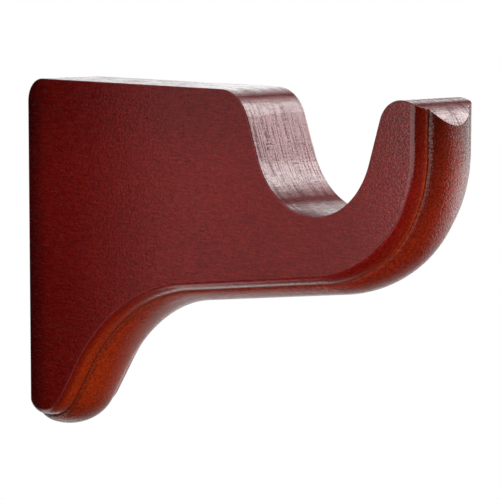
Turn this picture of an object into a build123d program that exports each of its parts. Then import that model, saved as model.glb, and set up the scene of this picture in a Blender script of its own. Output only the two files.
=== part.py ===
# Wooden return bracket for a curtain pole, sawn from one board, with a stepped moulding round its lower edge.
# The origin is the mouth of the hanger hole in the back; +X runs out from the wall and +Z is up.
from build123d import *
import os
from math import cos, radians, sin, tan

# Board
board_thickness = 19.0
side_height = 85.8  # top face down to the flat side's lower edge at the wall
side_reach = 135.0  # wall out to the flat side's front edge

# Pole and the saddle that holds it
pole_diameter = 35.0
pole_clearance = 1.5
return_length = 104.5  # wall out to the middle of the saddle
saddle_drop = 8.8  # top face down to the centre of the saddle's arc
shoulder_lean = 21.0
shoulder_round = 9.7

# Lip at the front of the saddle
lip_lean = 18.0
lip_drop = 0.15  # top face down to the top of the lip
lip_inner_round = 6.6
lip_outer_round = 8.8

# Corner of the top face and the back
back_round = 6.0

# Lower edge of the flat side, from the wall out to the lip
heel_round = 3.5  # where the moulding turns up against the wall
foot_reach = 9.8
foot_round = 10.6
leg_slope = 55.4
ogee_round = 59.7
arm_depth = 13.5  # wood under the saddle, down to the flat side's lower edge
arm_slope = 7.6
belly_round = 36.0
belly_slope = 34.0
nose_drop = 26.8  # top face down to the corner that the nose rounds off
nose_round = 27.9
nose_share = 0.75  # most of the straight run behind the nose that its round may take

# Stepped moulding: a narrow bead along each side and a broad one between them
side_bead_width = 3.3
side_bead_rise = 2.3
middle_bead_rise = 2.95

# Hole for a hanger bolt, square to the back
hole_drop = 30.0  # top face down to the hole
hole_diameter = 6.0
hole_depth = 26.0

# How far cuts and the moulding's run go past the wood, and how deep its section laps onto the flat sides
cut_margin = 10.0
run_margin = 1.0
lap = 1.0

half_thickness = board_thickness / 2
top = hole_drop
saddle_radius = pole_diameter / 2 + pole_clearance
saddle_centre = Vector(return_length, top - saddle_drop)
lip_top = top - lip_drop


def crossing(point_a, slope_a, point_b, slope_b):
    """Where two straight lines meet, each given by a point and its slope in degrees."""
    rise_a = tan(radians(slope_a))
    rise_b = tan(radians(slope_b))
    x = (point_b.Y - point_a.Y + rise_a * point_a.X - rise_b * point_b.X) / (rise_a - rise_b)
    return Vector(x, point_a.Y + rise_a * (x - point_a.X))


def fitted(radius, room, turn):
    """A round's radius, limited by the straight run beside its corner."""
    return min(radius, room / tan(radians(turn) / 2))


# Corners of the lower edge, and the rounds that fit between them
foot_corner = Vector(foot_reach, top - side_height)
under_saddle = saddle_centre - Vector(0, saddle_radius + arm_depth)
arm_corner = crossing(foot_corner, leg_slope, under_saddle, arm_slope)
nose_corner = Vector(side_reach, top - nose_drop)
belly_corner = crossing(under_saddle, arm_slope, nose_corner, belly_slope)

leg_run = (arm_corner - foot_corner).length
foot_fit = fitted(foot_round, min(foot_reach - heel_round, leg_run / 2), leg_slope)
leg_left = leg_run - foot_fit * tan(radians(leg_slope) / 2)
ogee_fit = fitted(ogee_round, leg_left, leg_slope - arm_slope)
belly_run = (nose_corner - belly_corner).length
nose_fit = fitted(nose_round, min(nose_drop, belly_run * nose_share), 90 - belly_slope)
belly_left = belly_run - nose_fit * tan(radians(90 - belly_slope) / 2)
belly_fit = fitted(belly_round, belly_left, belly_slope - arm_slope)

# Where the saddle's arc runs into its two leaning walls, and where those walls would meet the tops
saddle_left = saddle_centre - Vector(cos(radians(shoulder_lean)), sin(radians(shoulder_lean))) * saddle_radius
saddle_right = saddle_centre + Vector(cos(radians(lip_lean)), -sin(radians(lip_lean))) * saddle_radius
shoulder_corner = crossing(saddle_left, 90 + shoulder_lean, Vector(0, top), 0)
lip_corner = crossing(saddle_right, 90 - lip_lean, Vector(0, lip_top), 0)
shoulder_wall = Vector(-sin(radians(shoulder_lean)), cos(radians(shoulder_lean)))
lip_wall = Vector(sin(radians(lip_lean)), cos(radians(lip_lean)))
shoulder_tangent = shoulder_round * tan(radians(90 - shoulder_lean) / 2)
lip_tangent = lip_inner_round * tan(radians(90 - lip_lean) / 2)
middle_bead_half = half_thickness - side_bead_width

# Lower edge as a line in the side view, with X out from the wall and Y up; it starts down the back
lower_start = Vector(0, foot_corner.Y + heel_round + run_margin)
with BuildLine() as lower_edge:
    FilletPolyline(
        lower_start,
        (0, foot_corner.Y),
        foot_corner,
        arm_corner,
        belly_corner,
        nose_corner,
        (side_reach, top),
        radius=[heel_round, foot_fit, ogee_fit, belly_fit, nose_fit],
    )

with BuildPart() as bracket:
    # Flat-sided board, left whole above so that one cut shapes its top, the saddle and the lip
    with BuildSketch(Plane.XZ):
        with BuildLine():
            add(lower_edge.line)
            Polyline(lower_start, (0, top), (side_reach, top))
        make_face()
    extrude(amount=half_thickness, both=True)

    # Moulding: its section runs down the back, round the heel and along the lower edge to the lip
    with BuildSketch(Plane((0, 0, lower_start.Y), x_dir=(0, 1, 0), z_dir=(0, 0, -1))):
        with BuildLine():
            EllipticalCenterArc(
                (-middle_bead_half, 0), side_bead_width, side_bead_rise, start_angle=180, arc_size=90
            )
            EllipticalCenterArc(
                (0, -side_bead_rise), middle_bead_half, middle_bead_rise, start_angle=180, arc_size=180
            )
            EllipticalCenterArc(
                (middle_bead_half, 0), side_bead_width, side_bead_rise, start_angle=270, arc_size=90
            )
            Polyline(
                (half_thickness, 0), (half_thickness, lap), (-half_thickness, lap), (-half_thickness, 0)
            )
        make_face()
    sweep(path=Plane.XZ * lower_edge.line)

    # Flat back: what the moulding's run left behind the wall plane comes off
    split(bisect_by=Plane.YZ)

    # One cut through the board: rounded back corner, top face, shoulder, saddle and lip
    with BuildSketch(Plane.XZ) as top_cut:
        with BuildLine():
            back_arc = JernArc((0, top - back_round), (0, 1), back_round, -90)
            shoulder_start = Vector(shoulder_corner.X - shoulder_tangent, top)
            Line(back_arc @ 1, shoulder_start)
            JernArc(shoulder_start, (1, 0), shoulder_round, shoulder_lean - 90)
            shoulder_end = shoulder_corner - shoulder_wall * shoulder_tangent
            Line(shoulder_end, saddle_left)
            ThreePointArc(saddle_left, saddle_centre - Vector(0, saddle_radius), saddle_right)
            lip_start = lip_corner - lip_wall * lip_tangent
            Line(saddle_right, lip_start)
            lip_inner = JernArc(lip_start, lip_wall, lip_inner_round, lip_lean - 90)
            lip_outer = JernArc(lip_inner @ 1, (1, 0), lip_outer_round, -90)
            Polyline(
                lip_outer @ 1,
                (lip_outer @ 1) + Vector(cut_margin, 0),
                (lip_outer @ 1).X * Vector(1, 0) + Vector(cut_margin, top + cut_margin),
                (-cut_margin, top + cut_margin),
                (-cut_margin, top - back_round),
                back_arc @ 0,
            )
        make_face()
    extrude(amount=board_thickness, both=True, mode=Mode.SUBTRACT)

    # Hanger hole, drilled into the back
    with BuildSketch(Plane.YZ):
        Circle(hole_diameter / 2)
    extrude(amount=hole_depth, mode=Mode.SUBTRACT)

bracket.part.label = "bracket"
os.makedirs("parts", exist_ok=True)
export_step(bracket.part, "parts/bracket.step")
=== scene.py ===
import math
import bpy
import numpy as np
from mathutils import Matrix, Vector


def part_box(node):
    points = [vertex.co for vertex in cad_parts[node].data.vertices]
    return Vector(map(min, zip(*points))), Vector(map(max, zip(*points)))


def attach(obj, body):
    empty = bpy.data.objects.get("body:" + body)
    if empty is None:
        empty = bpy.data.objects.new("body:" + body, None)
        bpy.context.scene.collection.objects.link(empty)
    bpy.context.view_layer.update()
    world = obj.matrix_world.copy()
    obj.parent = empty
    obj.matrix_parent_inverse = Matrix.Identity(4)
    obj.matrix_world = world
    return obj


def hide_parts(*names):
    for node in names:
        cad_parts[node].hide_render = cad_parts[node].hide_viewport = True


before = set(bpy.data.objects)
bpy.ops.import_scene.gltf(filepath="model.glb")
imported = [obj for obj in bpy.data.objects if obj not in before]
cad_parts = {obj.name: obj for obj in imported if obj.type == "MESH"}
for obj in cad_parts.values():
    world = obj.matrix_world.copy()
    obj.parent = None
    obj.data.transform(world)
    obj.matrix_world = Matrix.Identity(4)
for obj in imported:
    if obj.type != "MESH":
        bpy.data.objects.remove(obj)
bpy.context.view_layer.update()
print("frame loaded")

scene = bpy.context.scene
mm = 0.001

# Camera, worked out from the photograph's straight edges: where the near top back corner of the board
# falls in the picture, how it is turned, and how many pixels wide its lens is.
shotView = {
    "imageWidth": 500,
    "cornerPixel": (27.64, 77.53),
    "azimuth": 47.0,
    "pitch": 6.955,
    "roll": 0.14,
    "focalPixels": 2310.7,
    "pixelSize": 0.25825 * mm,   # one pixel's width at that corner
    "sensorWidth": 36.0,
    "nearClip": 0.01,
    "farClip": 50.0,
}


# Right, up and back axes from azimuth, pitch and roll; the camera stands so that corner falls on its pixel.
def aimCamera(view, corner):
    azimuth, pitch, roll = (math.radians(view[k]) for k in ("azimuth", "pitch", "roll"))
    level = math.cos(pitch)
    back = np.array([math.sin(azimuth) * level, -math.cos(azimuth) * level, math.sin(pitch)])
    right = np.cross(-back, [0, 0, 1])
    right /= np.linalg.norm(right)
    up = np.cross(right, -back)
    right, up = right * math.cos(roll) + up * math.sin(roll), up * math.cos(roll) - right * math.sin(roll)
    half = view["imageWidth"] / 2
    u, v = view["cornerPixel"]
    toCorner = right * (u - half) + up * (half - v) - back * view["focalPixels"]
    place = np.array(corner) - toCorner * view["pixelSize"]
    data = bpy.data.cameras.new("shotCamera")
    data.sensor_width = view["sensorWidth"]
    data.lens = view["focalPixels"] / view["imageWidth"] * view["sensorWidth"]
    data.clip_start = view["nearClip"]
    data.clip_end = view["farClip"]
    camera = bpy.data.objects.new("shotCamera", data)
    axes = Matrix([right, up, back]).transposed().to_4x4()
    camera.matrix_world = Matrix.Translation(Vector(place)) @ axes
    scene.collection.objects.link(camera)
    scene.camera = camera


low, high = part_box("bracket")
aimCamera(shotView, (low.x, low.y, high.z))
print("camera placed")

# The bracket: its side view and the section of its moulding, as sawn and shaped.
bracketShape = {
    "sideHeight": 85.8 * mm,
    "sideReach": 135.0 * mm,
    "saddleReach": 104.5 * mm,
    "saddleDrop": 8.8 * mm,
    "saddleRadius": 19.0 * mm,
    "shoulderLean": 21.0,
    "shoulderRound": 9.7 * mm,
    "lipLean": 18.0,
    "lipDrop": 0.15 * mm,
    "lipInnerRound": 6.6 * mm,
    "lipOuterRound": 8.8 * mm,
    "backRound": 6.0 * mm,
    "heelRound": 3.5 * mm,
    "footReach": 9.8 * mm,
    "footRound": 10.6 * mm,
    "legSlope": 55.4,
    "ogeeRound": 59.7 * mm,
    "armDepth": 13.5 * mm,
    "armSlope": 7.6,
    "bellyRound": 36.0 * mm,
    "bellySlope": 34.0,
    "noseDrop": 26.8 * mm,
    "noseRound": 27.9 * mm,
    "noseShare": 0.75,   # most of the straight run behind the nose that its round may take
    "sideBeadWidth": 3.3 * mm,
    "sideBeadRise": 2.3 * mm,
    "middleBeadRise": 2.95 * mm,
    "holeRadius": 3.0 * mm,
    "holeDepth": 26.0 * mm,
    "holeMouth": 0.3 * mm,   # countersink
    "holeEnd": 0.96,   # share of its radius at its far end
    "easedEdge": 0.22 * mm,
    "crispEdge": 0.2 * mm,   # where the lip's round cuts across the moulding
    # where the finish changes, and where highlight and shade are painted on the moulding
    "rimWidth": 0.45 * mm,
    "rimInset": 0.8,   # of that width, from the side bead's inner edge to the middle of its painted highlight
    "creaseWidth": 0.8 * mm,
    "tipCreaseWidth": 5.0 * mm,
    "tipHeights": (-5 * mm, 12 * mm),   # between these the painted shade in the moulding's creases widens and deepens to the tip's
    "tipEdgeHeights": (5 * mm, 24 * mm),   # and here painted shade darkens the side beads' outer edges
    "edgeRise": 8.0,   # how steeply that starts at the flat side
    # how finely it is divided
    "spacing": 0.7 * mm,
    "sideBeadRows": 15,
    "middleBeadRows": 45,
    "heelSteps": 14,
    "frontSteps": 16,
    "crispSteps": 5,
    "lipSteps": 14,
    "holeSides": 48,
    "smoothAngle": 32,
}


# Points at even steps from start to end, and the normal to the right of the way.
def lineRun(start, end, spacing):
    start, end = np.array(start, float), np.array(end, float)
    length = np.linalg.norm(end - start)
    t = np.linspace(0, 1, max(2, int(length / spacing) + 1))[:, None]
    way = (end - start) / length
    normal = np.array([way[1], -way[0]])
    return start + (end - start) * t, np.repeat(normal[None], len(t), axis=0)


# Points centre + radius (cos a, sin a) for a between two angles in degrees; the normal points out or in.
def arcRun(centre, radius, fromAngle, toAngle, spacing, outward, fewest=6):
    sweep = math.radians(toAngle - fromAngle)
    count = max(fewest, int(abs(sweep) * radius / spacing) + 1)
    a = math.radians(fromAngle) + sweep * np.linspace(0, 1, count)
    ring = np.stack([np.cos(a), np.sin(a)], axis=1)
    return np.array(centre) + radius * ring, ring * (1 if outward else -1)


# Where two straight lines meet, each given by a point and its slope in degrees.
def meeting(pointA, slopeA, pointB, slopeB):
    riseA, riseB = math.tan(math.radians(slopeA)), math.tan(math.radians(slopeB))
    x = (pointB[1] - pointA[1] + riseA * pointA[0] - riseB * pointB[0]) / (riseA - riseB)
    return np.array([x, pointA[1] + riseA * (x - pointA[0])])


# A run of straight lines whose corners are rounded: each corner's arc starts and ends radius x tan(turn / 2)
# from it, on the side that the run turns to. The slopes are those of the lines, in degrees.
def roundedRun(corners, slopes, rounds, spacing):
    points, normals = [], []
    at = np.array(corners[0], float)
    for corner, before, after, radius in zip(corners[1:-1], slopes, slopes[1:], rounds):
        turn = after - before
        side = np.sign(turn)
        tangent = radius * math.tan(math.radians(abs(turn)) / 2)
        way = np.array([math.cos(math.radians(before)), math.sin(math.radians(before))])
        start = np.array(corner) - way * tangent
        centre = start + side * radius * np.array([-way[1], way[0]])
        pieces = [arcRun(centre, radius, before - 90 * side, after - 90 * side, spacing, side > 0)]
        if math.dist(at, start) > spacing * 0.01:   # else the two arcs meet
            pieces.insert(0, lineRun(at, start, spacing * 2))
        for piece in pieces:
            points.append(piece[0][:-1])
            normals.append(piece[1][:-1])
        way = np.array([math.cos(math.radians(after)), math.sin(math.radians(after))])
        at = np.array(corner) + way * tangent
    return np.vstack(points), np.vstack(normals), at


# Rows across the board: y and how far the moulding stands out there. Each side bead is a quarter ellipse,
# y = -half + width (1 - cos a), rise = sideRise sin a; the middle bead is half an ellipse on top of that.
def section(shape, half):
    a = np.linspace(0, math.pi / 2, shape["sideBeadRows"])
    b = np.linspace(0, math.pi, shape["middleBeadRows"])
    middleHalf = half - shape["sideBeadWidth"]
    ySide = -half + shape["sideBeadWidth"] * (1 - np.cos(a))
    riseSide = shape["sideBeadRise"] * np.sin(a)
    yMiddle = -middleHalf * np.cos(b)
    riseMiddle = shape["sideBeadRise"] + shape["middleBeadRise"] * np.sin(b)
    y = np.concatenate([ySide[:-1], yMiddle, -ySide[:-1][::-1]])
    rise = np.concatenate([riseSide[:-1], riseMiddle, riseSide[:-1][::-1]])
    return y, rise


# Quads of a grid whose vertex (c, r) is c * rows + r, wound so that they face outwards.
def gridFaces(columns, rows):
    c, r = np.meshgrid(np.arange(columns - 1), np.arange(rows - 1), indexing="ij")
    a = c * rows + r
    return np.stack([a, a + 1, a + rows + 1, a + rows], axis=-1).reshape(-1, 4)


# A mesh from one array of points, one array of quads and a few longer polygons, put in with foreach_set.
def meshFrom(name, points, quads, polygons):
    mesh = bpy.data.meshes.new(name)
    loops = np.concatenate([quads.ravel()] + [np.asarray(p) for p in polygons]).astype(np.int32)
    totals = np.concatenate([np.full(len(quads), 4), [len(p) for p in polygons]]).astype(np.int32)
    starts = np.concatenate([[0], np.cumsum(totals)[:-1]]).astype(np.int32)
    mesh.vertices.add(len(points))
    mesh.vertices.foreach_set("co", points.astype(np.float32).ravel())
    mesh.loops.add(len(loops))
    mesh.loops.foreach_set("vertex_index", loops)
    mesh.polygons.add(len(totals))
    mesh.polygons.foreach_set("loop_start", starts)
    mesh.polygons.foreach_set("loop_total", totals)
    mesh.update(calc_edges=True)
    mesh.validate()
    return mesh


# The points, as x and z, that the side view is drawn from: corners where straight lines meet, and the places
# where the rounds of the lip and the shoulder, radius x tan(turn / 2) from their corners, start and end.
def layOut(shape):
    top = high.z
    lipTop = top - shape["lipDrop"]
    foot = np.array([shape["footReach"], top - shape["sideHeight"]])
    saddle = np.array([shape["saddleReach"], top - shape["saddleDrop"]])
    under = saddle - [0, shape["saddleRadius"] + shape["armDepth"]]
    nose = np.array([shape["sideReach"], top - shape["noseDrop"]])
    leanL, leanR = math.radians(shape["shoulderLean"]), math.radians(shape["lipLean"])
    saddleLeft = saddle - shape["saddleRadius"] * np.array([math.cos(leanL), math.sin(leanL)])
    saddleRight = saddle + shape["saddleRadius"] * np.array([math.cos(leanR), -math.sin(leanR)])
    lip = meeting(saddleRight, 90 - shape["lipLean"], (0, lipTop), 0)
    shoulder = meeting(saddleLeft, 90 + shape["shoulderLean"], (0, top), 0)
    lipTangent = shape["lipInnerRound"] * math.tan((math.pi / 2 - leanR) / 2)
    shoulderTangent = shape["shoulderRound"] * math.tan((math.pi / 2 - leanL) / 2)
    return {
        "top": top,
        "lipTop": lipTop,
        "foot": foot,
        "arm": meeting(foot, shape["legSlope"], under, shape["armSlope"]),
        "belly": meeting(under, shape["armSlope"], nose, shape["bellySlope"]),
        "nose": nose,
        "saddle": saddle,
        "saddleLeft": saddleLeft,
        "saddleRight": saddleRight,
        "lipX": lip[0] + lipTangent,
        "lipWall": lip - np.array([math.sin(leanR), math.cos(leanR)]) * lipTangent,
        "shoulderX": shoulder[0] - shoulderTangent,
        "shoulderWall": shoulder - np.array([-math.sin(leanL), math.cos(leanL)]) * shoulderTangent,
    }


# Columns along the lower edge, from the wall to the front of the lip: edge + normal x rise(row). Each round
# is as large as wanted, or as the straight run beside it leaves room for. At the heel each row comes round
# its own arc, radius heel + rise, from where that meets the wall plane.
def lowerColumns(shape, at, rise, eased):
    heel, foot, arm, belly, nose = shape["heelRound"], at["foot"], at["arm"], at["belly"], at["nose"]
    corners = [(heel, foot[1]), foot, arm, belly, nose, (nose[0], at["top"])]
    slopes = [0, shape["legSlope"], shape["armSlope"], shape["bellySlope"], 90]
    turns = [math.tan(math.radians(abs(b - a)) / 2) for a, b in zip(slopes, slopes[1:])]
    legRun, bellyRun = math.dist(foot, arm), math.dist(belly, nose)
    footFit = min(shape["footRound"], min(shape["footReach"] - heel, legRun / 2) / turns[0])
    ogeeFit = min(shape["ogeeRound"], (legRun - footFit * turns[0]) / turns[1])
    noseFit = min(shape["noseRound"], min(shape["noseDrop"], bellyRun * shape["noseShare"]) / turns[3])
    bellyFit = min(shape["bellyRound"], (bellyRun - noseFit * turns[3]) / turns[2])
    rounds = [footFit, ogeeFit, bellyFit, noseFit]
    edge, normal, frontStart = roundedRun(corners, slopes, rounds, shape["spacing"])
    grid = edge[:, None] + normal[:, None] * rise[None, :, None]
    reach = heel + rise
    wallTurn = np.arccos(np.clip((heel + eased) / reach, -1, 1))
    t = np.linspace(0, 1, shape["heelSteps"])[:-1, None]
    angle = wallTurn + (math.pi / 2 - wallTurn) * t
    heelGrid = np.stack([heel - reach * np.cos(angle), foot[1] + heel - reach * np.sin(angle)], axis=-1)
    return np.concatenate([heelGrid, grid]), frontStart


# Columns up the front of the lip, over its crisp edge and over its outer round, x = lipX + outer sin a and
# z = outerZ + outer cos a. The round cuts across the moulding, so each row meets it at its own height, and
# the edge there is a short quadratic curve.
def lipColumns(shape, at, rise, eased, frontStart):
    soft = shape["crispEdge"]
    outer = shape["lipOuterRound"] + eased
    outerZ = at["lipTop"] - shape["lipOuterRound"]
    front = shape["sideReach"] + rise
    cutAngle = np.arcsin((front - at["lipX"]) / outer)
    cutZ = outerZ + outer * np.cos(cutAngle)
    t = np.linspace(0, 1, shape["frontSteps"])[:, None]
    frontZ = frontStart[1] + t * (cutZ - soft - frontStart[1])
    frontGrid = np.stack([np.broadcast_to(front, frontZ.shape), frontZ], axis=-1)
    afterAngle = cutAngle - soft / shape["lipOuterRound"]
    t = np.linspace(1, 0, shape["lipSteps"])[:-1, None]
    angle = afterAngle * t
    roundGrid = np.stack([at["lipX"] + outer * np.sin(angle), outerZ + outer * np.cos(angle)], axis=-1)
    before, corner, after = frontGrid[-1], np.stack([front, cutZ], axis=-1), roundGrid[0]
    t = np.linspace(0, 1, shape["crispSteps"])[1:-1, None, None]
    crispGrid = (1 - t) ** 2 * before + 2 * t * (1 - t) * corner + t ** 2 * after
    return frontGrid, crispGrid, roundGrid


# Columns over the lip, through the saddle, over the shoulder and along the top to the back:
# line + normal x eased(row), so each row stands in by the eased edge.
def upperColumns(shape, at, eased):
    top, step = at["top"], shape["spacing"]
    lipRound, shoulderRound, backRound = shape["lipInnerRound"], shape["shoulderRound"], shape["backRound"]
    lipLean, shoulderLean = shape["lipLean"], shape["shoulderLean"]
    runs = [
        arcRun((at["lipX"], at["lipTop"] - lipRound), lipRound, 90, 180 - lipLean, step, True),
        lineRun(at["lipWall"], at["saddleRight"], step * 2),
        arcRun(at["saddle"], shape["saddleRadius"], -lipLean, shoulderLean - 180, step, False),
        lineRun(at["saddleLeft"], at["shoulderWall"], step * 2),
        arcRun((at["shoulderX"], top - shoulderRound), shoulderRound, shoulderLean, 90, step, True),
        lineRun((at["shoulderX"], top), (backRound, top), step * 4),
        arcRun((backRound, top - backRound), backRound, 90, 180, step, True),
    ]
    points = np.vstack([run[0][:-1] for run in runs] + [runs[-1][0][-1:]])
    normals = np.vstack([run[1][:-1] for run in runs] + [runs[-1][1][-1:]])
    return points[:, None] + normals[:, None] * eased[None, :, None]


# The hole's rings, (x, r cos a, r sin a), from its countersunk mouth to its far end.
def holeRings(shape):
    radius, mouth, depth = shape["holeRadius"], shape["holeMouth"], shape["holeDepth"]
    sides, endRadius = shape["holeSides"], radius * shape["holeEnd"]
    a = np.linspace(0, 2 * math.pi, sides, endpoint=False) - math.pi / 2
    places = [(0, radius + mouth), (mouth, radius), (depth - mouth, radius), (depth, endRadius)]
    return np.stack([np.stack([np.full(sides, x), r * np.cos(a), r * np.sin(a)], axis=-1) for x, r in places])


# What closes the skin, by vertex numbers: strips over the back's eased edges, two polygons that fill the flat
# between them round the hole, the hole's wall and far end, and one polygon for each flat side.
def closingFaces(columns, rows, into, ringCount, sides):
    lastColumn = (columns - 1) * rows
    bottomRow, topRow = np.arange(rows), lastColumn + np.arange(rows)
    flatRows = np.flatnonzero(into <= 0)
    firstFlat, lastFlat, middle = flatRows[0], flatRows[-1], rows // 2
    r = np.concatenate([np.arange(firstFlat), np.arange(lastFlat, rows - 1)])
    strips = np.stack([lastColumn + r, lastColumn + r + 1, r + 1, r], axis=-1)
    firstRing = columns * rows
    k, j = np.meshgrid(np.arange(ringCount - 1), np.arange(sides), indexing="ij")
    here = firstRing + k * sides + j
    beside = firstRing + k * sides + (j + 1) % sides
    wall = np.stack([here, here + sides, beside + sides, beside], axis=-1).reshape(-1, 4)
    farEnd = firstRing + (ringCount - 1) * sides + np.arange(sides)[::-1]
    halfRound = np.arange(sides // 2 + 1)   # from the mouth's lowest point to its highest
    right, left = firstRing + halfRound, firstRing + (-halfRound) % sides
    toLast, toFirst = slice(middle, lastFlat + 1), slice(firstFlat, middle + 1)
    plusSide = np.concatenate([topRow[toLast], bottomRow[toLast][::-1], right])
    minusSide = np.concatenate([bottomRow[toFirst][::-1], topRow[toFirst], left[::-1]])
    sideLow = np.arange(columns) * rows
    sideHigh = sideLow + rows - 1
    return np.concatenate([strips, wall]), [farEnd, plusSide, minusSide, sideLow, sideHigh[::-1]]


# Where the finish differs, and where light and shade are painted, from 0 to 1 at each point: the moulding,
# the sawn faces above it, a painted highlight on the side beads' rims, and painted shade in the creases and
# on the edges, which widens toward the tip. Rims and creases are 1 - distance / width.
def finishAndPaintedLightMarks(shape, y, height, moldedColumns, restCount):
    columnAt, rowAt = np.arange(len(height))[:, None], np.arange(len(y))[None]
    onMolding = columnAt < moldedColumns
    beadEdge = high.y - shape["sideBeadWidth"]
    molded = np.clip((high.y - np.abs(y)) / shape["sideBeadWidth"], 0, 1)
    # painted highlight: a thin bright line along each side bead's rim
    rimAt = beadEdge + shape["rimWidth"] * shape["rimInset"]
    rimHighlight = np.clip(1 - np.abs(np.abs(y) - rimAt) / shape["rimWidth"], 0, 1)
    # painted shade: in the crease beside the middle bead, and on the side beads' outer edges toward the tip
    inside = beadEdge - np.abs(y)   # in from the crease beside the middle bead
    creaseWidth = np.interp(height, shape["tipHeights"], (shape["creaseWidth"], shape["tipCreaseWidth"]))
    creaseShade = (inside > -0.001 * mm) * np.clip(1 - inside / creaseWidth, 0, 1)
    outside = np.clip(-inside / shape["sideBeadWidth"], 0, 1)   # 1 at the flat side, 0 at the crease
    onEdge = np.minimum(outside, (1 - outside) * shape["edgeRise"])
    creaseShade = np.maximum(creaseShade, onEdge * np.interp(height, shape["tipEdgeHeights"], (0, 1)))
    found = {
        "molded": molded * onMolding,
        "sawn": ~onMolding * (rowAt > 0) * (rowAt < len(y) - 1),
        "rimHighlight": rimHighlight * onMolding,
        "creaseShade": creaseShade * onMolding,
    }
    return {name: np.concatenate([values.ravel(), np.zeros(restCount)]) for name, values in found.items()}


# The whole bracket as one skin. A closed line round its side view is carried across the board: each column is
# a place on that line, each row a place across, and each point stands off the line by rise(row) along the
# line's normal. Below, the rise is the moulding's section; above, it is the eased edge, 0 or inwards.
def bracketMesh(shape):
    y, rise = section(shape, high.y)
    rows = len(y)
    ease = shape["easedEdge"]
    into = np.clip(np.abs(y) - (high.y - ease), 0, ease)
    eased = -(ease - np.sqrt(ease ** 2 - into ** 2))   # quarter round at each side face
    at = layOut(shape)
    lower, frontStart = lowerColumns(shape, at, rise, eased)
    front, crisp, lipRound = lipColumns(shape, at, rise, eased, frontStart)
    flat = np.concatenate([lower, front, crisp, lipRound, upperColumns(shape, at, eased)])
    columns = len(flat)
    points = np.empty((columns, rows, 3))
    points[..., 0] = flat[..., 0]
    points[..., 1] = y[None]
    points[..., 2] = flat[..., 1]
    rings = holeRings(shape)
    moreQuads, polygons = closingFaces(columns, rows, into, len(rings), shape["holeSides"])
    quads = np.concatenate([gridFaces(columns, rows), moreQuads])
    allPoints = np.concatenate([points.reshape(-1, 3), rings.reshape(-1, 3)])
    moldedColumns = len(lower) + len(front) + len(crisp) - 1
    marks = finishAndPaintedLightMarks(shape, y, flat[:, :1, 1], moldedColumns, len(allPoints) - columns * rows)
    return np.clip(allPoints, low, high), quads, polygons, marks   # not past the CAD's box


points, quads, polygons, marks = bracketMesh(bracketShape)
mesh = meshFrom("bracketWood", points, quads, polygons)
for name, values in marks.items():
    mesh.attributes.new(name, "FLOAT", "POINT").data.foreach_set("value", values.astype(np.float32))
flatFaces = np.arange(len(mesh.polygons)) >= len(quads)
mesh.set_sharp_from_angle(angle=math.radians(bracketShape["smoothAngle"]))   # first, as it clears sharp_face
mesh.attributes.new("sharp_face", "BOOLEAN", "FACE").data.foreach_set("value", flatFaces)
bracketWood = bpy.data.objects.new("bracketWood", mesh)
scene.collection.objects.link(bracketWood)
print("bracket skin done:", len(points), "points")

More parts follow.
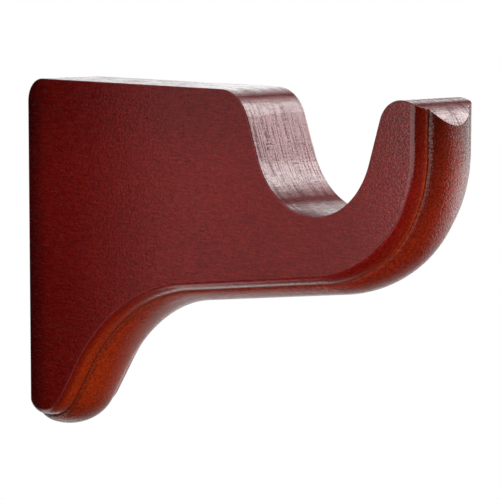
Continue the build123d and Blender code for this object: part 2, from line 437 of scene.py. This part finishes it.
# Dark red mahogany stain under satin lacquer, with some light and shade painted into its colour.
woodLook = {
    "stain": (0.205, 0.0045, 0.0035),
    "deepStain": (0.155, 0.0020, 0.0015),
    "thinStain": (0.285, 0.0180, 0.0080),   # grain that took less stain
    "moldedStain": (0.285, 0.0230, 0.0075),   # the moulding, where the cutter opened the grain
    "litLegColor": (0.470, 0.0420, 0.0080),   # painted light: the moulding coloured brighter down the leg, as if lit there
    "sawnStain": (0.215, 0.0120, 0.0180),   # sawn faces
    "rimHighlightColor": (0.620, 0.0700, 0.0120),   # painted highlight along the side beads' rims
    "poreStain": (0.020, 0.0010, 0.0010),
    "streakStain": (0.050, 0.0040, 0.0040),   # the saw's streaks
    # how much of each lies over the stain
    "thinShare": 0.6,
    "cutShare": 0.85,   # of the moulding's and the sawn faces'
    "legSooner": 1.6,   # down the leg the side bead takes the painted light from its start
    # how much painted highlight lies on the rims, and how much less down the leg
    "highlightShare": 0.75,
    "highlightLessOnLeg": 0.5,
    "poreShare": 0.55,
    "streakShare": 0.5,
    # patterns: size along x, y and z, detail and roughness
    "clouds": ((48 * mm, 30 * mm, 30 * mm), 3.0, 0.5),
    "grain": ((5 * mm, 0.5 * mm, 0.5 * mm), 3.0, 0.5),
    "pores": ((2.2 * mm, 0.22 * mm, 0.22 * mm), 1.0, 0.5),
    "speckle": ((0.6 * mm, 0.42 * mm, 0.42 * mm), 1.0, 0.4),
    "streaks": ((9 * mm, 0.3 * mm, 9 * mm), 3.0, 0.6),
    "rungs": ((0.4 * mm, 2.4 * mm, 0.4 * mm), 1.0, 0.5),   # short marks across the streaks
    "rungShare": 0.25,
    # and the part of each pattern's range that shows
    "cloudRange": (0.3, 0.7),
    "grainRange": (0.42, 0.8),
    "poreRange": (0.6, 0.75),
    "streakRange": (0.45, 0.57),
    "speckleRange": (0.36, 0.64),
    "dotRange": (0.5, 0.6),
    # where the colour is brighter or darker: painted light on the leg, painted shade on the tip, foot and
    # creases
    "legReach": (22 * mm, 60 * mm),   # the leg's painted light fades out between these reaches
    "backSkin": 0.05 * mm,   # the flat back has one even stain
    "backShade": (9 * mm, 50 * mm),   # darker this near to the back, and a little as far as this
    "backTones": (0.35, 0.66),   # how bright it still is at the back, for each of those
    "topShade": (8 * mm, 30 * mm),   # the flat faces darken a little between these heights
    "topDarker": 0.22,
    "tipShade": (13 * mm, 26 * mm),   # painted shade: the moulding darkens between these heights, toward the tip
    "tipDarker": 0.55,
    "footShade": (-50 * mm, -58 * mm),   # painted shade: and from the first to the second, under the foot
    "footDarker": 0.3,
    "creaseDarker": 0.12,   # painted shade in the creases, where some stain also gathers, and how much more on the leg and on the tip
    "creaseOnLeg": 0.35,
    "creaseOnTip": 0.45,
    "mottle": 0.22,
    "moldedMottle": 0.08,   # more than that on the moulding
    # lacquer
    "roughness": 0.6,
    "coatRoughness": 0.1,
    "coatIndex": 1.4,
    "coatGloss": 1.3,
    "streakDull": 0.95,
    "dotGloss": 1.1,
    "dotDull": 0.5,   # it sinks into the moulding's open grain
    "bump": 1.0,
    "bumpHeight": 0.09 * mm,
    "flatRelief": 0.28,
    "moldedRelief": 1.3,
    "sawnRelief": -0.18,
    "streakRelief": -0.12,
    "poreRelief": -0.3,
}


# A node of one kind; keyword values go to its own settings, and sockets to its inputs by name or number.
def addNode(tree, kind, sockets=None, **settings):
    made = tree.nodes.new("ShaderNode" + kind)
    for key, value in settings.items():
        setattr(made, key, value)
    for key, value in (sockets or {}).items():
        if isinstance(value, bpy.types.NodeSocket):
            tree.links.new(value, made.inputs[key])
        else:
            made.inputs[key].default_value = value
    return made


def mixColor(tree, factor, first, second, blend="MIX"):
    made = addNode(tree, "Mix", data_type="RGBA", blend_type=blend)
    for index, value in ((0, factor), (6, first), (7, second)):
        if isinstance(value, bpy.types.NodeSocket):
            tree.links.new(value, made.inputs[index])
        else:
            made.inputs[index].default_value = (*value, 1) if isinstance(value, tuple) else value
    return made.outputs[2]


def calculate(tree, operation, *values, clamp=False):
    return addNode(tree, "Math", dict(enumerate(values)), operation=operation, use_clamp=clamp).outputs[0]


def times(tree, first, second, clamp=False):
    return calculate(tree, "MULTIPLY", first, second, clamp=clamp)


def scaled(tree, value, by, plus, clamp=False):
    return calculate(tree, "MULTIPLY_ADD", value, by, plus, clamp=clamp)


def oneMinus(tree, value):
    return calculate(tree, "SUBTRACT", 1.0, value)


# Runs from least to most as the value goes from start to end, and stays there.
def spread(tree, value, start, end, least=0.0, most=1.0, smooth=False):
    return addNode(tree, "MapRange", {
        "Value": value, "From Min": start, "From Max": end, "To Min": least, "To Max": most,
    }, interpolation_type="SMOOTHSTEP" if smooth else "LINEAR").outputs[0]


# Noise whose features are about so long, wide and deep, in metres, along x, y and z.
def noiseAt(tree, place, sizes, detail, roughness):
    placed = addNode(tree, "Mapping", {"Vector": place, "Scale": tuple(1 / size for size in sizes)})
    return addNode(tree, "TexNoise", {
        "Vector": placed.outputs[0], "Scale": 1.0, "Detail": detail, "Roughness": roughness,
    }).outputs["Fac"]


# What the stain and the lacquer follow: the skin's marks, the noise patterns, and places on the bracket.
def woodPatterns(tree, look):
    place = addNode(tree, "TexCoord").outputs["Object"]
    on = {}
    for mark in ("molded", "sawn", "rimHighlight", "creaseShade"):
        on[mark] = addNode(tree, "Attribute", attribute_name=mark).outputs["Fac"]
    for pattern in ("clouds", "grain", "pores", "speckle", "streaks", "rungs"):
        on[pattern] = noiseAt(tree, place, *look[pattern])
    apart = addNode(tree, "SeparateXYZ", {0: place})
    on["reach"], on["height"] = apart.outputs[0], apart.outputs[2]
    on["leg"] = spread(tree, on["reach"], *look["legReach"][::-1])
    on["back"] = calculate(tree, "LESS_THAN", on["reach"], look["backSkin"])
    on["dark"] = times(tree, spread(tree, on["pores"], *look["poreRange"]), look["poreShare"])
    streaks = times(tree, on["streaks"], 1 - look["rungShare"])
    streaks = calculate(tree, "ADD", streaks, times(tree, on["rungs"], look["rungShare"]))
    on["streak"] = times(tree, spread(tree, streaks, *look["streakRange"]), on["sawn"])
    return on


# The stain's colour, one layer over another, with painted light down the leg and a painted highlight on the
# rims.
def stainAndPaintedLight(tree, look, on):
    color = mixColor(tree, spread(tree, on["clouds"], *look["cloudRange"]), look["deepStain"], look["stain"])
    thin = times(tree, spread(tree, on["grain"], *look["grainRange"]), look["thinShare"])
    color = mixColor(tree, thin, color, look["thinStain"])
    # painted light: the moulding is coloured brighter down the leg
    moldedColor = mixColor(tree, on["leg"], look["moldedStain"], look["litLegColor"])
    molded = times(tree, on["molded"], scaled(tree, on["leg"], look["legSooner"], 1.0), clamp=True)
    color = mixColor(tree, times(tree, molded, look["cutShare"]), color, moldedColor)
    color = mixColor(tree, times(tree, on["sawn"], look["cutShare"]), color, look["sawnStain"])
    # painted highlight along the side beads' rims
    highlighted = times(tree, on["rimHighlight"], scaled(tree, on["leg"], -look["highlightLessOnLeg"], look["highlightShare"]))
    color = mixColor(tree, highlighted, color, look["rimHighlightColor"])
    color = mixColor(tree, on["dark"], color, look["poreStain"])
    color = mixColor(tree, times(tree, on["streak"], look["streakShare"]), color, look["streakStain"])
    return mixColor(tree, on["back"], color, look["sawnStain"])


# Brightness, about 1 or less: the mottle x darkening at the back and top x painted shade at tip, foot and
# creases.
def stainAndPaintedShade(tree, look, on):
    nearBack, farBack = (
        spread(tree, on["reach"], 0.0, reach, tone, 1.0, smooth)
        for reach, tone, smooth in zip(look["backShade"], look["backTones"], (True, False))
    )
    atBack = calculate(tree, "MAXIMUM", times(tree, nearBack, farBack), on["back"])
    onFlat = oneMinus(tree, calculate(tree, "MAXIMUM", on["molded"], on["sawn"]))
    atTop = spread(tree, on["height"], *look["topShade"], 0.0, look["topDarker"], smooth=True)
    atTop = times(tree, atTop, onFlat)
    # painted shade on the moulding toward the tip
    atTip = times(tree, spread(tree, on["height"], *look["tipShade"]), on["molded"])
    # painted shade under the foot
    atFoot = times(tree, spread(tree, on["height"], *look["footShade"]), on["molded"])
    # painted shade in the creases, deeper on the tip and down the leg
    tipCrease = spread(tree, on["height"], *bracketShape["tipHeights"])
    paintedCreaseShade = scaled(tree, tipCrease, look["creaseOnTip"], look["creaseDarker"])
    paintedCreaseShade = times(tree, on["creaseShade"], scaled(tree, on["leg"], look["creaseOnLeg"], paintedCreaseShade))
    mottle = times(
        tree,
        spread(tree, on["speckle"], *look["speckleRange"], -1.0, 1.0),
        scaled(tree, on["molded"], look["moldedMottle"], look["mottle"]),
    )
    shade = times(tree, calculate(tree, "ADD", mottle, 1.0), times(tree, atBack, oneMinus(tree, atTop)))
    shade = times(tree, shade, oneMinus(tree, times(tree, atTip, look["tipDarker"])))
    shade = times(tree, shade, scaled(tree, atFoot, -look["footDarker"], 1.0))
    return times(tree, shade, oneMinus(tree, paintedCreaseShade))


# The lacquer: a coat with a fine relief of its own, duller on the saw's streaks and the moulding's grain.
def lacquer(tree, look, on, shader):
    rough = scaled(tree, on["molded"], look["moldedRelief"], look["flatRelief"])
    relief = times(tree, on["speckle"], scaled(tree, on["sawn"], look["sawnRelief"], rough))
    relief = scaled(tree, on["streak"], look["streakRelief"], relief)
    relief = scaled(tree, on["dark"], look["poreRelief"], relief)
    bump = addNode(tree, "Bump", {"Strength": look["bump"], "Distance": look["bumpHeight"], "Height": relief})
    tree.links.new(bump.outputs[0], shader.inputs["Coat Normal"])
    gloss = scaled(tree, on["streak"], -look["streakDull"], look["coatGloss"], clamp=True)
    dots = times(tree, spread(tree, on["speckle"], *look["dotRange"]), on["molded"])
    gloss = times(tree, gloss, scaled(tree, dots, -look["dotDull"], look["dotGloss"]), clamp=True)
    tree.links.new(gloss, shader.inputs["Coat Weight"])
    shader.inputs["Coat Roughness"].default_value = look["coatRoughness"]
    shader.inputs["Coat IOR"].default_value = look["coatIndex"]


def stainedWood(look):
    material = bpy.data.materials.new("stainedWood")
    material.use_nodes = True
    tree = material.node_tree
    shader = tree.nodes["Principled BSDF"]
    shader.inputs["Roughness"].default_value = look["roughness"]
    shader.inputs["Specular IOR Level"].default_value = 0.0
    on = woodPatterns(tree, look)
    shade = stainAndPaintedShade(tree, look, on)
    tone = addNode(tree, "CombineColor", {0: shade, 1: shade, 2: shade}).outputs[0]
    color = mixColor(tree, 1.0, stainAndPaintedLight(tree, look, on), tone, "MULTIPLY")
    tree.links.new(color, shader.inputs["Base Color"])
    lacquer(tree, look, on, shader)
    return material


bracketWood.data.materials.append(stainedWood(woodLook))
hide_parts("bracket")
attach(bracketWood, "root")
print("wood finished")

# Studio: a white floor well below, a white surround, and soft lights. Azimuth 0 is on the -y side and 90 on
# the +x side; each light stands off the bracket's middle and faces it.
studio = {
    "floorDrop": 300 * mm,
    "floorRadius": 0.85,
    "floorSides": 96,
    "floorColor": (0.85, 0.85, 0.85),
    "floorBounce": 0.45,   # share of its light that it throws back on the bracket
    "floorFade": (0.3, 0.95),   # shares of its radius between which it fades to the white of the surround
    "floorGlow": 0.15,
    "rimGlow": 0.7,
    "floorShine": 0.6,   # in the lacquer it is bright behind the bracket and dark in front of it
    "shineWay": (-0.9, 0.43, 0.0),   # left and behind the bracket
    "shineReach": (0.0, 0.33),
    "surround": 0.11,
    "cardSteps": 24,
    "cards": [
        # name, azimuth from and to, distance, bottom and top against the bracket's middle, glow
        ("leftCard", -78, -51, 0.6, -0.34, 0.28, 0.0),
        ("greyCard", -51, -37, 0.6, -0.22, 0.6, 0.6),
        ("frontCard", -37, 33, 0.6, -0.11, 0.6, 2.9),
        ("frontFoot", -22, 8, 0.61, -0.3, -0.11, 1.1),
        ("lowCard", -51, 33, 0.62, -0.34, -0.11, 0.03),
        ("rightCard", 33, 122, 0.6, -0.34, 0.6, 0.02),
        ("patchCard", -125, -58, 0.3, -0.34, -0.235, 1.8),
        ("dimCard", 122, 132, 0.61, -0.34, 0.07, 0.7),
        ("windowCard", 132, 182, 0.6, -0.3, 0.0, 3.2),
        ("windowFoot", 132, 180, 0.4, -0.34, -0.2, 1.3),
        ("sideCard", 118, 133, 0.8, 0.1, 0.7, 5.0),
        ("rimStart", 133, 143, 0.79, 0.2, 0.48, 7.0),
        ("rimCard", 133, 168, 0.8, 0.24, 1.1, 13.5),
        ("rimFade", 168, 180, 0.8, 0.27, 1.1, 6.5),
        ("rimEnd", 180, 191, 0.8, 0.27, 1.1, 2.2),
        ("gapCard", 190, 202, 0.3, 0.1, 0.44, 0.3),
        ("lipGap", 203, 214, 0.3, 0.06, 0.16, 0.6),
        ("backCard", 202, 250, 0.8, 0.2, 0.68, 2.6),
        ("backFoot", 202, 229, 0.81, -0.06, 0.2, 1.5),
        ("backEnd", 229, 250, 0.81, -0.06, 0.2, 1.2),
    ],
    "lights": [
        # name, azimuth, elevation, distance, width, height, brightness
        ("fillPanel", 22, 12, 0.55, 0.5, 0.4, 3.5),
        ("bouncePanel", 60, -35, 0.4, 0.3, 0.3, 0.22),
        ("sidePanel", 118, 0, 0.7, 0.4, 0.6, 2.7),
        ("rimPanel", 150, 34, 0.8, 0.5, 0.42, 3.6),
        ("backPanel", 238, 8, 0.8, 0.6, 0.5, 4.0),
    ],
}


# A floor or card whose paint has no gloss and can glow white, and that paint's nodes.
def paintedPiece(name, mesh):
    piece = bpy.data.objects.new(name, mesh)
    scene.collection.objects.link(piece)
    material = bpy.data.materials.new(name + "Paint")
    material.use_nodes = True
    shader = material.node_tree.nodes["Principled BSDF"]
    shader.inputs["Specular IOR Level"].default_value = 0.0
    shader.inputs["Emission Color"].default_value = (1, 1, 1, 1)
    mesh.materials.append(material)
    return piece, material.node_tree, shader


# A disc, middle + radius (cos a, sin a). To the camera it keeps the shadow near its middle and fades to the
# white of the surround at its rim; to the lacquer it only glows, on one side.
def layFloor(look, middle):
    drop = low.z - look["floorDrop"]
    radius = look["floorRadius"]
    a = np.linspace(0, 2 * math.pi, look["floorSides"], endpoint=False)
    ring = np.stack([radius * np.cos(a) + middle.x, radius * np.sin(a), drop + 0 * a], axis=-1)
    floorMesh = bpy.data.meshes.new("floor")
    floorMesh.from_pydata(ring.tolist(), [], [range(len(a))])
    floor, tree, shader = paintedPiece("floor", floorMesh)
    shader.inputs["Roughness"].default_value = 1.0
    place = addNode(tree, "TexCoord").outputs["Object"]
    centre = (middle.x, 0, drop)
    fromMiddle = addNode(tree, "VectorMath", {0: place, 1: centre}, operation="DISTANCE").outputs["Value"]
    fadeStart, fadeEnd = (radius * share for share in look["floorFade"])
    fade = spread(tree, fromMiddle, fadeStart, fadeEnd, look["floorGlow"], look["rimGlow"], smooth=True)
    behind = addNode(tree, "VectorMath", {0: place, 1: look["shineWay"]}, operation="DOT_PRODUCT")
    shine = spread(tree, behind.outputs["Value"], *look["shineReach"], 0.0, look["floorShine"])
    path = addNode(tree, "LightPath")
    isGlossy, isDiffuse = path.outputs["Is Glossy Ray"], path.outputs["Is Diffuse Ray"]
    glow = scaled(tree, isGlossy, shine, times(tree, path.outputs["Is Camera Ray"], fade))
    held = scaled(tree, isDiffuse, 1 - look["floorBounce"], isGlossy, clamp=True)
    tree.links.new(mixColor(tree, held, look["floorColor"], (0.0, 0.0, 0.0)), shader.inputs["Base Color"])
    tree.links.new(glow, shader.inputs["Emission Strength"])


# Cards round the bracket, dark or glowing, are what its lacquer mirrors; the camera and diffuse light don't
# see them. Each is a strip of a cylinder: middle + distance (sin a, -cos a), z between bottom and top.
def hangCards(look, middle):
    for name, start, end, distance, bottom, top, glow in look["cards"]:
        a = np.radians(np.linspace(start, end, look["cardSteps"]))[:, None]
        z = np.array([[bottom, top]])
        strip = np.stack(np.broadcast_arrays(
            middle.x + distance * np.sin(a), middle.y - distance * np.cos(a), middle.z + z), axis=-1)
        cardMesh = meshFrom(name, strip.reshape(-1, 3), gridFaces(len(a), 2), [])
        card, tree, shader = paintedPiece(name, cardMesh)
        card.visible_camera = card.visible_diffuse = card.visible_shadow = False
        shader.inputs["Base Color"].default_value = (0.0, 0.0, 0.0, 1)
        shader.inputs["Emission Strength"].default_value = glow


# White to the camera, in gloss and through glass, and dimmer as a light.
def lightSurround(look):
    world = bpy.data.worlds.new("surround")
    scene.world = world
    world.use_nodes = True
    tree = world.node_tree
    seen = addNode(tree, "LightPath").outputs
    shown = calculate(tree, "ADD", seen["Is Camera Ray"], seen["Is Glossy Ray"], clamp=True)
    shown = calculate(tree, "ADD", shown, seen["Is Transmission Ray"], clamp=True)
    background = tree.nodes["Background"]
    background.inputs["Color"].default_value = (1, 1, 1, 1)
    strength = scaled(tree, shown, 1 - look["surround"], look["surround"])
    tree.links.new(strength, background.inputs["Strength"])


# Soft panels, middle + distance x direction, each turned to the bracket and left out of its gloss.
def hangLights(look, middle):
    for name, azimuth, elevation, distance, width, height, brightness in look["lights"]:
        a, e = math.radians(azimuth), math.radians(elevation)
        away = Vector((math.sin(a) * math.cos(e), -math.cos(a) * math.cos(e), math.sin(e)))
        data = bpy.data.lights.new(name, "AREA")
        data.shape = "RECTANGLE"
        data.size = width
        data.size_y = height
        data.energy = brightness * math.pi * width * height
        light = bpy.data.objects.new(name, data)
        light.location = middle + away * distance
        light.rotation_euler = away.to_track_quat("Z", "Y").to_euler()
        light.visible_camera = light.visible_glossy = False
        scene.collection.objects.link(light)


middle = (low + high) / 2
layFloor(studio, middle)
hangCards(studio, middle)
lightSurround(studio)
hangLights(studio, middle)
scene.view_settings.view_transform = "Standard"
print("studio lit")
